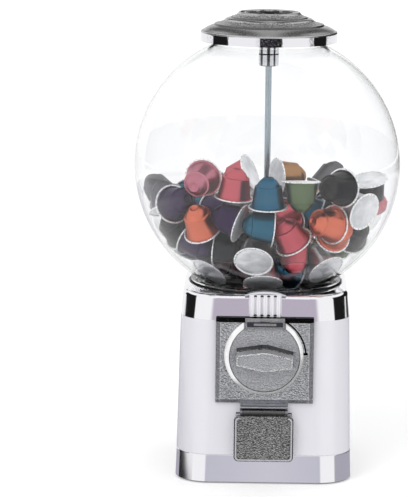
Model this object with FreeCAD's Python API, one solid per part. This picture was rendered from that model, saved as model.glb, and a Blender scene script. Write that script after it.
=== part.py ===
"""Globe-type capsule vending machine, about 442 mm tall.

Frame: millimetres, +Z up, the front looks along -Y, origin at the middle of the
foot plane.  The centre rod runs up the Z axis and clamps base, body, cap, globe
and lid into one stack.
"""
import FreeCAD, Part
import math
import os
import random

V = FreeCAD.Vector
X_AXIS = V(1, 0, 0)
Y_AXIS = V(0, 1, 0)
Z_AXIS = V(0, 0, 1)

# ---------------------------------------------------------------- driving sizes
# stack heights above the floor
PLINTH_BOTTOM = 0.8
PLINTH_TOP = 28.0
SLEEVE_TOP = 157.0
CAP_PLATE_Z = 179.5
CAP_TOP = 181.2
CAP_HOLLOW_TOP = 176.0
CAP_FILLET = 4.6
RIB_TOP = 182.4
GLOBE_SEAT_Z = 182.0
LID_SKIRT_Z = 412.6

# half widths of the square column at each height, and its corner radius
PLINTH_HALF = (84.2, 83.3)
SLEEVE_HALF = (83.3, 80.3)
CAP_HALF = (80.3, 78.1)
CORNER_R = 33.0
SLEEVE_WALL = 1.5
CASTING_WALL = 2.6
PLINTH_ROUNDING = 0.9
FOOT_R = 9.0
FOOT_SPOT = 58.0
STAND_BOLT_R = 3.2
STAND_BOLT_SPOT = 40.0

# ribs and lip that stand on the front of the cap
RIB_HALF_X = 14.6
RIB_R = 2.7
RIB_SPOTS = (-12.4, -6.2, 0.0, 6.2, 12.4)
RIB_SOCKETS = (-9.3, -3.1, 3.1, 9.3)
CREST_HALF_X = 19.2

# globe
GLOBE_R = 127.5
GLOBE_WALL = 3.0
GLOBE_CENTRE_Z = 294.0
GLOBE_FOOT_R = 65.5
GLOBE_FLANGE_R = 72.5
GLOBE_NECK_R = 53.0
GLOBE_NECK_TOP = 413.4
PLATEAU = 26.2

# centre rod
ROD_R = 3.0
ROD_TOP = 404.0
RUNNING_GAP = 0.06
ROD_WASHER_R = 8.0
NUT_FLATS = 10.0
LOCK_NECK_R = 8.0
BARREL_R = 5.5

# hopper and dispensing wheel
HOPPER_R = 70.0
HOPPER_WALL = 2.5
FLOOR_Z = 141.5
CHANNEL_Z = 136.0
CHANNEL_FLOOR = 2.4
CHANNEL_R = 59.9
WHEEL_R = 66.3
WHEEL_BOTTOM = 142.0
WHEEL_TOP = 172.0
POCKETS = 4
POCKET_R = 21.0
POCKET_RING_R = 35.5
COVER_HALF_X = 24.0
RIVET_X = 14.0
RIVET_Z = 177.6

# crown teeth under the wheel and the pinion that turns them
CROWN_TEETH = 48
PINION_TEETH = 12
MESH_R = 62.0
CIRCULAR_PITCH = 2 * math.pi * MESH_R / CROWN_TEETH
PINION_R = CIRCULAR_PITCH * PINION_TEETH / (2 * math.pi)
ADDENDUM = 2.2
DEDENDUM = 2.5
CROWN_INNER_R = 59.0
CROWN_SEAT = 3.0
FLANK_TAN = math.tan(math.radians(20))

# coin mechanism, all about the dial axis, which runs along Y
DIAL_Z = 124.0
PLATE_FRONT = -89.0
PLATE_BACK = -82.3
PLATE_HALF_X = 46.0
RIB_FACE = -82.4
BEVEL = 4.2
PLATE_Z = (79.0, 161.0)
DIAL_R = 32.8
DIAL_TILT = 3.0
SHAFT_R = 4.0
COIN_R = 12.2
COIN_RING_R = 20.4
HOUSING_HALF_X = 37.0
HOUSING_Z = (87.0, 156.0)
HOUSING_BACK = -70.5
RATCHET_Y = (-77.5, -74.5)
RATCHET_R = (24.0, 20.5)
RATCHET_TEETH = 12
PAWL_PIN = (27.0, 149.5)
CLAMP_HALF_X = 46.0
CLAMP_Z = (116.0, 132.0)
SCREW_X = 33.0
SCREW_R = 2.0
BEZEL_R = (37.2, 35.0)
BEZEL_BORE_R = 33.4
BEZEL_SHIFT = (-0.7, 1.0)
BEZEL_GAP_X = 19.4
COIN_BLOCK_HALF_X = 18.6
COIN_BLOCK_LOW = 152.0
# grip bar: half length, half height in the middle and at the ends, half middle flat,
# depth of its front, and how far its root spreads in the middle and at the ends
GRIP_HALF = (26.6, 9.3, 5.2, 3.0)
GRIP_FRONT = -113.2
GRIP_FLARE = (3.0, 2.2)

# outlet
MOUTH_HALF_X = 23.0
MOUTH_Z = (30.6, 66.4)
FLAP_PIN = (-90.2, 71.0)
FLAP_HALF_X = 28.0
FLAP_Z = (23.5, 67.2)
PIN_R = 1.5
EAR_R = 3.0
EAR_X = 22.4
EAR_WIDTH = 2.2

# capsules: rim disc, tapered body, coned nose, measured from the foil
CAPSULE_RIM_R = 18.5
CAPSULE_RIM_H = 1.4
CAPSULE_BODY_R = (15.2, 12.4)
CAPSULE_SHOULDER = 20.5
CAPSULE_HEIGHT = 28.5
CAPSULE_NOSE_R = 5.2


# ---------------------------------------------------------------- small helpers
def box(x, y, z):
    """Box between two limits on each axis."""
    return Part.makeBox(
        x[1] - x[0], y[1] - y[0], z[1] - z[0], V(x[0], y[0], z[0])
    )


def cylinder(radius, low, high, centre=(0.0, 0.0)):
    """Upright cylinder between two heights."""
    return Part.makeCylinder(radius, high - low, V(centre[0], centre[1], low), Z_AXIS)


def cylinder_y(radius, front, back, x=0.0, z=DIAL_Z):
    """Cylinder along Y between two depths."""
    return Part.makeCylinder(radius, back - front, V(x, front, z), Y_AXIS)


def cylinder_x(radius, half_length, y, z):
    """Cylinder along X, centred on the middle plane."""
    return Part.makeCylinder(radius, 2 * half_length, V(-half_length, y, z), X_AXIS)


def ring(outer, inner, low, high):
    """Upright ring."""
    return cylinder(outer, low, high).cut(cylinder(inner, low - 1, high + 1))


def rounded_square(half, radius, z):
    """Wire of a square with round corners at height z."""
    flat = half - radius
    edges = []
    for quarter in range(4):
        turn = math.radians(90 * quarter)
        side = V(math.cos(turn), math.sin(turn), 0)
        along = V(-math.sin(turn), math.cos(turn), 0)
        lift = V(0, 0, z)
        start = side * half - along * flat + lift
        end = side * half + along * flat + lift
        corner = side * flat + along * flat + lift
        middle = corner + (side + along) * (radius / math.sqrt(2))
        edges.append(Part.LineSegment(start, end).toShape())
        after = side * flat + along * half + lift
        edges.append(Part.Arc(end, middle, after).toShape())
    return Part.Wire(edges)


def column(halves, radius, low, high):
    """Tapered square column with round corners."""
    bottom = rounded_square(halves[0], radius, low)
    top = rounded_square(halves[1], radius, high)
    return Part.makeLoft([bottom, top], True, True)


def column_shell(halves, radius, wall, low, high):
    """The same column as a tube open at both ends."""
    slope = (halves[1] - halves[0]) / (high - low)
    inner_halves = (halves[0] - wall - slope, halves[1] - wall + slope)
    inner = column(inner_halves, radius - wall, low - 1, high + 1)
    return column(halves, radius, low, high).cut(inner)


def turned(points):
    """Solid of revolution about Z; three-point tuples after an "arc" mark bend."""
    edges = []
    last = V(points[0][0], 0, points[0][1])
    for point in points[1:] + points[:1]:
        here = V(point[0], 0, point[1])
        if len(point) == 4:
            middle = V(point[2], 0, point[3])
            edges.append(Part.Arc(last, middle, here).toShape())
        else:
            edges.append(Part.LineSegment(last, here).toShape())
        last = here
    face = Part.Face(Part.Wire(edges))
    return face.revolve(V(0, 0, 0), Z_AXIS, 360)


def prism(points, place, depth):
    """Polygon given in two coordinates, placed by a function and pushed by a vector."""
    corners = [place(a, b) for a, b in points]
    return Part.Face(Part.makePolygon(corners + corners[:1])).extrude(depth)


def in_xz(y):
    """Places polygon points in the plane at depth y."""
    return lambda a, b: V(a, y, b)


def in_yz(x):
    """Places polygon points in the plane at offset x."""
    return lambda a, b: V(x, a, b)


def hexagon(across_flats):
    """Corner points of a hexagon about the origin."""
    reach = across_flats / math.sqrt(3)
    turns = [math.radians(60 * k) for k in range(6)]
    return [(reach * math.cos(t), reach * math.sin(t)) for t in turns]


def fuse(first, others):
    """One solid from many that touch."""
    return first.multiFuse(others).removeSplitter()


# ---------------------------------------------------------------- base and body
def plinth():
    """Chromed base ring with an inner ledge that carries the base plate."""
    walls = column_shell(PLINTH_HALF, CORNER_R, CASTING_WALL, PLINTH_BOTTOM, PLINTH_TOP)
    ledge_half = PLINTH_HALF[0] - CASTING_WALL
    ledge = column((ledge_half + 0.8, ledge_half + 0.8), CORNER_R - 2, 8.0, 10.0)
    opening = column((ledge_half - 5, ledge_half - 5), CORNER_R - 5, 7.0, 11.0)
    ring_shape = fuse(walls, [ledge.cut(opening)])
    reach = PLINTH_HALF[1] - 0.5
    rims = [edge for edge in ring_shape.Edges
            if edge.BoundBox.ZLength < 0.01
            and max(abs(edge.BoundBox.XMin), edge.BoundBox.XMax,
                    abs(edge.BoundBox.YMin), edge.BoundBox.YMax) > reach]
    return ring_shape.makeFillet(PLINTH_ROUNDING, rims)


def base_plate():
    """Steel floor of the coin vault, with four holes for bolting to a stand."""
    half = PLINTH_HALF[0] - CASTING_WALL - 0.9
    plate = column((half, half), CORNER_R - 3, 10.0, 12.0)
    plate = plate.cut(cylinder(ROD_R + 0.2, 9, 13))
    for x in (-STAND_BOLT_SPOT, STAND_BOLT_SPOT):
        for y in (-STAND_BOLT_SPOT, STAND_BOLT_SPOT):
            plate = plate.cut(cylinder(STAND_BOLT_R, 9, 13, (x, y)))
    return plate


def feet():
    """Four rubber feet pressed under the base plate."""
    sides = (-FOOT_SPOT, FOOT_SPOT)
    spots = [(x, y) for x in sides for y in sides]
    return Part.makeCompound([cylinder(FOOT_R, 0, 10, spot) for spot in spots])


def body_sleeve():
    """White sheet-steel sleeve with openings for the coin mechanism and the chute."""
    shell = column_shell(SLEEVE_HALF, CORNER_R, SLEEVE_WALL, PLINTH_TOP, SLEEVE_TOP)
    mechanism = box((-38, 38), (-90, -70), (86, SLEEVE_TOP - 0.6))
    mouth = box((-26.4, 26.4), (-90, -70), (PLINTH_TOP - 1, 69.0))
    return shell.cut(mechanism).cut(mouth)


def rib_panel():
    """Five upright ribs that stand on the front of the cap, over the coin slot."""
    low, high = PLATE_Z[1] + 0.4, RIB_TOP
    panel = box((-RIB_HALF_X, RIB_HALF_X), (RIB_FACE, -77.5), (low, high))
    ribs = [cylinder(RIB_R, low, high, (x, RIB_FACE)) for x in RIB_SPOTS]
    panel = fuse(panel, ribs)
    for x in RIB_SOCKETS:
        for z in (low + 1.3, high - 1.5):
            panel = panel.cut(box((x - 1.4, x + 1.4), (-86, RIB_FACE + 1.6),
                                  (z - 0.8, z + 0.8)))
    return panel


def crest_lip():
    """Thin arched lip over the ribs."""
    half = CREST_HALF_X
    front = RIB_FACE - 0.6
    upper = Part.Arc(V(-half, front, 182.2), V(0, front, 185.2), V(half, front, 182.2))
    under = Part.Arc(V(half, front, 181.0), V(0, front, 182.9), V(-half, front, 181.0))
    sides = [Part.LineSegment(V(half, front, 182.2), V(half, front, 181.0)).toShape(),
             Part.LineSegment(V(-half, front, 181.0), V(-half, front, 182.2)).toShape()]
    outline = Part.Wire([upper.toShape(), sides[0], under.toShape(), sides[1]])
    return Part.Face(outline).extrude(V(0, 7.0, 0))


def top_cap():
    """Chromed cap: a square hood with a rounded top edge and a round globe seat."""
    block = column(CAP_HALF, CORNER_R + 2, SLEEVE_TOP, CAP_TOP)
    crown = [edge for edge in block.Edges if edge.BoundBox.ZMin > CAP_TOP - 0.01]
    block = block.makeFillet(CAP_FILLET, crown)
    halves = [half - CASTING_WALL for half in CAP_HALF]
    hollow = column(halves, CORNER_R - 1, SLEEVE_TOP - 1, CAP_HOLLOW_TOP)
    tongue = box((-RIB_HALF_X, RIB_HALF_X), (RIB_FACE + 1, -76), (SLEEVE_TOP + 4.4, RIB_TOP - 1))
    shell = fuse(block.cut(hollow), [tongue, rib_panel(), crest_lip()])
    shell = shell.cut(cylinder(HOPPER_R + 1.0, 150, 190))
    return shell.cut(ring(74.6, HOPPER_R, CAP_PLATE_Z, 190))


def rod():
    """Steel tie rod from under the base plate up into the lock."""
    return cylinder(ROD_R, 1.6, ROD_TOP)


def rod_washer():
    return ring(ROD_WASHER_R, ROD_R, 8.6, 10.0)


def rod_nut():
    corners = hexagon(NUT_FLATS)
    nut = prism(corners, lambda a, b: V(a, b, 3.6), V(0, 0, 5.0))
    return nut.cut(cylinder(ROD_R, 3, 9))


# ---------------------------------------------------------------- hopper and wheel
def hopper():
    """Black bowl that hangs in the cap; its floor has the outlet and the gear channel."""
    wall = HOPPER_R - HOPPER_WALL
    bowl = turned([
        (ROD_R + 0.2, FLOOR_Z - 2.2), (CHANNEL_R - 2, FLOOR_Z - 2.2),
        (CHANNEL_R - 2, CHANNEL_Z - CHANNEL_FLOOR),
        (HOPPER_R, CHANNEL_Z - CHANNEL_FLOOR),
        (HOPPER_R, CAP_PLATE_Z), (73.6, CAP_PLATE_Z), (73.6, GLOBE_SEAT_Z - 1.0),
        (wall, GLOBE_SEAT_Z - 1.0), (wall, CHANNEL_Z), (CHANNEL_R, CHANNEL_Z),
        (CHANNEL_R, FLOOR_Z), (ROD_R + 0.2, FLOOR_Z),
    ])
    spot = (0, -POCKET_RING_R)
    spout = cylinder(POCKET_R + 2.0, CHANNEL_Z - CHANNEL_FLOOR, FLOOR_Z - 1, spot)
    bowl = fuse(bowl, [spout])
    outlet = cylinder(POCKET_R + 0.5, 130, FLOOR_Z + 1, spot)
    window = box((-19, 19), (-75, -CHANNEL_R - 0.05), (130, FLOOR_Z))
    return bowl.cut(outlet).cut(window)


def crown_tooth(angle):
    """One radial tooth under the wheel, as a loft between two trapezoids."""
    faces = []
    for radius in (60.4, 65.8):
        scale = radius / MESH_R
        middle = 0.40 * CIRCULAR_PITCH * scale / 2
        tip = middle - ADDENDUM * FLANK_TAN
        root = middle + DEDENDUM * FLANK_TAN
        mesh_z = DIAL_Z + PINION_R
        low, high = mesh_z - ADDENDUM, mesh_z + DEDENDUM + 0.6
        outline = [(-tip, low), (tip, low), (root, mesh_z + DEDENDUM), (root, high),
                   (-root, high), (-root, mesh_z + DEDENDUM)]
        faces.append(Part.makePolygon([V(radius, a, b) for a, b in outline + outline[:1]]))
    tooth = Part.makeLoft(faces, True, True)
    tooth.rotate(V(0, 0, 0), Z_AXIS, angle)
    return tooth


def dispensing_wheel():
    """Four-pocket wheel that turns about the rod."""
    wheel = cylinder(WHEEL_R, WHEEL_BOTTOM, WHEEL_TOP)
    wheel = fuse(wheel, [cylinder(9, FLOOR_Z + 0.1, WHEEL_BOTTOM + 1)])
    for k in range(POCKETS):
        turn = math.radians(90 * k)
        pocket = (POCKET_RING_R * math.cos(turn), POCKET_RING_R * math.sin(turn))
        wheel = wheel.cut(cylinder(POCKET_R, 130, 190, pocket))
    wheel = wheel.cut(ring(WHEEL_R + 1, CROWN_INNER_R, 130, WHEEL_BOTTOM + CROWN_SEAT))
    return wheel.cut(cylinder(ROD_R + RUNNING_GAP, 130, 190))


def crown_gear():
    """Toothed ring let into the wheel's underside, driven by the pinion."""
    gear = ring(WHEEL_R, CROWN_INNER_R, WHEEL_BOTTOM, WHEEL_BOTTOM + CROWN_SEAT)
    step = 360.0 / CROWN_TEETH
    return fuse(gear, [crown_tooth(-90 + (k + 0.5) * step) for k in range(CROWN_TEETH)])


def outlet_cover():
    """Plate over the front pocket, so that only one capsule at a time can drop."""
    across = (-COVER_HALF_X, COVER_HALF_X)
    plate = box(across, (-68, -12), (WHEEL_TOP + 1.0, WHEEL_TOP + 3.0))
    tab = box(across, (-68, -64), (WHEEL_TOP + 1.0, 179.0))
    inside = cylinder(HOPPER_R - HOPPER_WALL, 150, 200)
    cover = fuse(plate, [tab.cut(cylinder(65.4, 150, 200))]).common(inside)
    for x in (-RIVET_X, RIVET_X):
        cover = cover.cut(cylinder_y(1.6, -75, -60, x, RIVET_Z))
    return cover


def cover_rivets():
    """Two rivets that hold the cover to the bowl wall."""
    rivets = []
    for x in (-RIVET_X, RIVET_X):
        wall = math.sqrt((HOPPER_R - HOPPER_WALL) ** 2 - x * x)
        stem = cylinder_y(1.6, -wall + 0.7, -62.6, x, RIVET_Z)
        rivets.append(stem.fuse(cylinder_y(2.2, -62.9, -61.9, x, RIVET_Z)))
    return Part.makeCompound(rivets)


def chute():
    """Capsule slide: a square shaft under the outlet that turns forward to the mouth."""
    top = CHANNEL_Z - CHANNEL_FLOOR
    outer = [(-59.5, top), (-12.0, top), (-12.0, 66.0), (-24.0, 46.0), (-56.0, 28.6),
             (-79.0, 28.6), (-79.0, 69.0), (-70.0, 80.0), (-59.5, 84.0)]
    inner = [(-57.5, top + 1), (-14.0, top + 1), (-14.0, 66.6), (-25.4, 47.6),
             (-56.5, 30.6), (-80.0, 30.6), (-80.0, 66.4), (-71.0, 77.6), (-57.5, 82.6)]
    shell = prism(outer, in_yz(-MOUTH_HALF_X - 2), V(2 * MOUTH_HALF_X + 4, 0, 0))
    return shell.cut(prism(inner, in_yz(-MOUTH_HALF_X), V(2 * MOUTH_HALF_X, 0, 0)))


# ---------------------------------------------------------------- globe and lid
def globe_gasket():
    return ring(GLOBE_FLANGE_R, HOPPER_R - HOPPER_WALL, GLOBE_SEAT_Z - 1, GLOBE_SEAT_Z)


def globe():
    """Clear sphere with a flanged foot below and a short neck under the lid."""
    centre = V(0, 0, GLOBE_CENTRE_Z)
    outer = Part.makeSphere(GLOBE_R, centre)
    slab = cylinder(GLOBE_R + 5, GLOBE_SEAT_Z, GLOBE_NECK_TOP)
    outer = outer.common(slab)
    foot = cylinder(GLOBE_FOOT_R, GLOBE_SEAT_Z, GLOBE_SEAT_Z + 4)
    flange = cylinder(GLOBE_FLANGE_R, GLOBE_SEAT_Z, GLOBE_SEAT_Z + 2)
    neck = cylinder(GLOBE_NECK_R, 400, GLOBE_NECK_TOP)
    body = fuse(outer, [foot, flange, neck])
    inner = Part.makeSphere(GLOBE_R - GLOBE_WALL, centre)
    body = body.cut(inner)
    body = body.cut(cylinder(GLOBE_FOOT_R - 4.5, 170, GLOBE_SEAT_Z + 20))
    return body.cut(cylinder(GLOBE_NECK_R - GLOBE_WALL, 380, 430))


def lid_profile():
    """Outline of the lid: skirt, shoulder, two stepped bands and a plateau."""
    return [
        (65.0, 0), (65.0, 8.2), (63.2, 10.5, 64.7, 9.7),
        (52.6, 15.5, 58.4, 13.5), (51.8, 16.9), (43.0, 19.7, 47.2, 17.9),
        (37.0, 22.5, 40.4, 21.9), (36.2, 23.5), (30.4, 26.1, 33.0, 24.5),
        (29.6, 27.1), (27.2, 27.1, 28.4, 28.1), (26.6, PLATEAU), (0, PLATEAU),
    ]


def ornament():
    """Raised petals around the lock on the plateau."""
    low, high = PLATEAU - 0.9, PLATEAU + 1.4
    petals = []
    for k in range(6):
        spot = (17.2, 0)
        arm = cylinder(7.2, low, high, spot).cut(cylinder(5.4, low - 1, high + 1, spot))
        arm = arm.common(cylinder(24.4, low - 1, high + 1))
        arm.rotate(V(0, 0, 0), Z_AXIS, 60 * k + 30)
        petals.append(arm)
    petals.append(ring(12.6, 11.0, low, high + 0.3))
    return petals


def lid():
    """Cast lid that covers the filling opening."""
    inside = [(0, 15.3), (14, 15.3), (14, 22.3), (28, 22.3), (35, 19.9), (42, 16.7),
              (49.0, 13.9), (49.0, 2.3), (54.5, 2.3), (54.5, 11.5), (62.2, 6.7), (62.2, 0)]
    body = turned(inside + lid_profile())
    body = fuse(body, ornament())
    body = body.cut(cylinder(LOCK_NECK_R, 10, 35))
    body.translate(V(0, 0, LID_SKIRT_Z))
    return body


def lid_gasket():
    return ring(54.2, 49.4, GLOBE_NECK_TOP + 0.1, LID_SKIRT_Z + 2.3)


def lock_body():
    """Chromed sleeve that grips the rod end, carried by the lid."""
    boss, face = LID_SKIRT_Z + 15.3, LID_SKIRT_Z + PLATEAU
    sleeve = turned([
        (0, 389.0), (9.0, 389.0), (9.6, 389.6), (9.6, 399.7), (9.1, 400.2), (9.6, 400.7),
        (9.6, boss), (LOCK_NECK_R, boss), (LOCK_NECK_R, face), (9.9, face), (9.9, face + 1.7),
        (9.0, face + 2.7), (0, face + 2.7),
    ])
    sleeve = sleeve.cut(cylinder(ROD_R + RUNNING_GAP, 380, 407))
    return sleeve.cut(cylinder(BARREL_R + RUNNING_GAP, 411, 450))


def lock_barrel():
    """Round key barrel with an oval face and a key slot."""
    front = LID_SKIRT_Z + PLATEAU + 2.3
    barrel = cylinder(BARREL_R, 411.2, front)
    face = cylinder(5.0, front, front + 1.0)
    key_slot = box((-0.9, 0.9), (-3.4, 3.4), (front - 2.0, front + 2))
    return barrel.fuse(face).cut(key_slot)


# ---------------------------------------------------------------- coin mechanism
def mech_plate():
    """Cast front plate of the coin mechanism with bevelled edges."""
    low, high = PLATE_Z
    half = PLATE_HALF_X

    def outline(inset, y):
        points = [(-half + inset, low + inset), (half - inset, low + inset),
                  (half - inset, high - inset), (-half + inset, high - inset)]
        corners = [V(a, y, b) for a, b in points]
        return Part.makePolygon(corners + corners[:1])

    slab = box((-half, half), (PLATE_BACK - 3.2, PLATE_BACK), (low, high))
    faces = [outline(0, PLATE_BACK - 3.2), outline(BEVEL, PLATE_FRONT)]
    plate = fuse(slab, [Part.makeLoft(faces, True, True)])
    groove = cylinder_y(39.6, PLATE_FRONT - 1.0, PLATE_FRONT + 1.4)
    groove = groove.cut(cylinder_y(38.2, -99, -80))
    groove = groove.common(box((18, 50), (-99, -80), (DIAL_Z + 4, DIAL_Z + 34)))
    plate = plate.cut(groove)
    notch = box((35, 40.4), (PLATE_FRONT - 2, PLATE_FRONT + 1.6), (DIAL_Z + 2, DIAL_Z + 4.4))
    plate = plate.cut(notch)
    plate = plate.cut(cylinder_y(DIAL_R + 0.6, -99, -70))
    slot = box((-13, 13), (-86.0, -83.0), (DIAL_Z, high + 5))
    back_slot = box((-13, 13), (-83.5, -81), (DIAL_Z, 150))
    return plate.cut(slot).cut(back_slot)


def dial_bezel():
    """Bright sloping ring around the dial, broad above and thin below, open at the top."""
    centre = V(BEZEL_SHIFT[0], PLATE_FRONT, DIAL_Z + BEZEL_SHIFT[1])
    bezel = Part.makeCone(*BEZEL_R, 2.2, centre, V(0, -1, 0))
    bezel = bezel.cut(cylinder_y(BEZEL_BORE_R, -99, -70))
    return bezel.cut(box((-BEZEL_GAP_X, BEZEL_GAP_X), (-99, -80), (DIAL_Z + 20, 170)))


def coin_block():
    """Coin entry at the top of the plate, with its slot running down into the dial."""
    half = COIN_BLOCK_HALF_X
    low, high = COIN_BLOCK_LOW, PLATE_Z[1]
    block = box((-half, half), (-95.6, -91.8), (low, high))
    root = box((-half, half), (-92.0, PLATE_FRONT), (high - 3.2, high))
    window = box((-half + 1.6, half - 1.6), (-96, -94.8), (low + 1.6, high - 2.4))
    bar = box((-10.5, 10.5), (-95.3, -94.4), (low + 3.0, low + 5.2))
    block = fuse(fuse(block, [root]).cut(window), [bar])
    slope = prism([(-96.5, high + 1), (-96.5, high - 1.4), (-91.4, high + 0.01)],
                  in_yz(-half - 1), V(2 * half + 2, 0, 0))
    notch = cylinder_y(14.5, -99, -94.4, 0, high + 11.5)
    return block.cut(slope).cut(notch)


def dial():
    """Turning dial with its grip bar."""
    face = cylinder_y(DIAL_R, -90.4, -85.6)
    edge = cylinder_y(DIAL_R - 1.4, -91.4, -90.3)

    def grip(grow, y, flare=(0.0, 0.0)):
        long, tall, end = [half + grow for half in GRIP_HALF[:3]]
        tall, end = tall + flare[0], end + flare[1]
        middle = GRIP_HALF[3]
        points = [(-long, -end), (-middle, -tall), (middle, -tall), (long, -end),
                  (long, end), (middle, tall), (-middle, tall), (-long, end)]
        corners = [V(a, y, DIAL_Z + b) for a, b in points]
        return Part.makePolygon(corners + corners[:1])

    bar = Part.makeLoft([grip(0.2, -90.8, GRIP_FLARE), grip(-0.4, GRIP_FRONT)], True, True)
    recess = Part.makeLoft([grip(-1.8, GRIP_FRONT - 0.3), grip(-1.8, GRIP_FRONT + 1.3)],
                           True, True)
    knob = fuse(face, [edge, bar.cut(recess)])
    knob.rotate(V(0, 0, DIAL_Z), Y_AXIS, DIAL_TILT)
    return knob.cut(cylinder_y(SHAFT_R, -100, -80))


def dial_shaft():
    return cylinder_y(SHAFT_R, -100, -60.1)


def coin_carrier():
    """Disc that carries the coin round in its notch."""
    disc = cylinder_y(DIAL_R, -85.4, -82.4)
    disc = disc.cut(cylinder_y(SHAFT_R, -99, -70))
    notch = cylinder_y(COIN_R, -99, -70, 0, DIAL_Z + COIN_RING_R)
    mouth = box((-COIN_R, COIN_R), (-99, -70), (DIAL_Z + COIN_RING_R, 170))
    return disc.cut(notch).cut(mouth)


def coin_backplate():
    """Sheet behind the carrier with the hole where an accepted coin drops back."""
    half = HOUSING_HALF_X
    sheet = box((-half, half), (PLATE_BACK, -80.6), HOUSING_Z)
    sheet = sheet.cut(cylinder_y(SHAFT_R + 0.5, -99, -70))
    turn = math.radians(225)
    drop = (COIN_RING_R * math.cos(turn), DIAL_Z + COIN_RING_R * math.sin(turn))
    sheet = sheet.cut(cylinder_y(COIN_R + 1.2, -99, -70, drop[0], drop[1]))
    for x in (-SCREW_X, SCREW_X):
        sheet = sheet.cut(cylinder_y(SCREW_R, -99, -70, x))
    return sheet


def mech_housing():
    """Cast box behind the plate that holds the ratchet; coins leave at its lower left."""
    half = HOUSING_HALF_X
    low, high = HOUSING_Z
    shell = box((-half, half), (-80.6, HOUSING_BACK), (low, high))
    shell = shell.cut(box((-half + 2, half - 2), (-81, HOUSING_BACK - 2), (low + 2, high - 2)))
    shell = shell.cut(box((-33, -5), (-81, -77.4), (low - 1, low + 3)))
    shell = shell.cut(cylinder_y(6.5, -75, -60))
    shell = shell.cut(cylinder_y(PIN_R, -75, -60, *PAWL_PIN))
    for x in (-SCREW_X, SCREW_X):
        shell = shell.cut(cylinder_y(SCREW_R, -99, -60, x))
    return shell


def shaft_bush():
    bush = cylinder_y(6.5, -73.4, -67.4)
    return bush.cut(cylinder_y(SHAFT_R + RUNNING_GAP, -80, -60))


def mech_clamp():
    """Sheet bridge that pulls the mechanism against the sleeve wall from inside."""
    half = CLAMP_HALF_X
    bridge = box((-half, half), (HOUSING_BACK, HOUSING_BACK + 2), CLAMP_Z)
    legs = [box((x, x + 4), (-79.0, HOUSING_BACK + 1), CLAMP_Z) for x in (-half, half - 4)]
    clamp = fuse(bridge, legs)
    clamp = clamp.cut(cylinder_y(7.0, -80, -60))
    for x in (-SCREW_X, SCREW_X):
        clamp = clamp.cut(cylinder_y(SCREW_R, -80, -60, x))
    return clamp


def mech_screws():
    """Two long screws from the clamp into the back of the plate."""
    screws = []
    for x in (-SCREW_X, SCREW_X):
        stem = cylinder_y(SCREW_R, PLATE_BACK, HOUSING_BACK + 2, x)
        head = cylinder_y(3.8, HOUSING_BACK + 2, HOUSING_BACK + 4.4, x)
        screws.append(stem.fuse(head))
    return Part.makeCompound(screws)


def ratchet_wheel():
    """Twelve-tooth ratchet that lets the dial turn one way only."""
    tip, root = RATCHET_R
    outline = []
    for k in range(RATCHET_TEETH):
        start = math.radians(360.0 / RATCHET_TEETH * k)
        end = math.radians(360.0 / RATCHET_TEETH * (k + 1))
        outline.append((tip * math.cos(start), DIAL_Z + tip * math.sin(start)))
        outline.append((root * math.cos(end), DIAL_Z + root * math.sin(end)))
    wheel = prism(outline, in_xz(RATCHET_Y[0]), V(0, 3.0, 0))
    return wheel.cut(cylinder_y(SHAFT_R, -99, -60))


def ratchet_pawl():
    """Pawl on its own pin above the ratchet."""
    arm = prism([(28.0, 152.6), (10.6, 148.9), (9.6, 146.6), (12.4, 146.8), (26.0, 146.4)],
                in_xz(RATCHET_Y[0]), V(0, 3.0, 0))
    pivot = cylinder_y(3.4, RATCHET_Y[0], RATCHET_Y[1], *PAWL_PIN)
    return fuse(arm, [pivot]).cut(cylinder_y(PIN_R + RUNNING_GAP, -80, -70, *PAWL_PIN))


def pawl_pin():
    return cylinder_y(PIN_R, -78.6, HOUSING_BACK, *PAWL_PIN)


def pawl_spring():
    """Torsion spring on the pawl pin: its coil as a tube, and one leg."""
    coil = cylinder_y(3.1, RATCHET_Y[1] + 0.3, HOUSING_BACK - 2.1, *PAWL_PIN)
    leg = Part.makeCylinder(0.45, 6.0, V(29.6, -73.3, 149.0), V(0.45, 0, -1))
    return fuse(coil, [leg]).cut(cylinder_y(1.7, -80, -60, *PAWL_PIN))


def drive_pinion():
    """Twelve-tooth pinion on the dial shaft, one tooth pointing straight up."""
    outline = []
    half_pitch = 0.37 * CIRCULAR_PITCH / 2
    half_tip = half_pitch - ADDENDUM * FLANK_TAN
    half_root = half_pitch + DEDENDUM * FLANK_TAN
    tip, root = PINION_R + ADDENDUM, PINION_R - DEDENDUM
    for k in range(PINION_TEETH):
        turn = math.radians(90 - 360.0 / PINION_TEETH * k)
        out = V(math.cos(turn), 0, math.sin(turn))
        side = V(math.sin(turn), 0, -math.cos(turn))
        for along, across in ((root, -half_root), (tip, -half_tip),
                              (tip, half_tip), (root, half_root)):
            point = out * along + side * across
            outline.append((point.x, DIAL_Z + point.z))
    gear = prism(outline, in_xz(-65.0), V(0, 4.7, 0))
    return gear.cut(cylinder_y(SHAFT_R, -80, -50))


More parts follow.
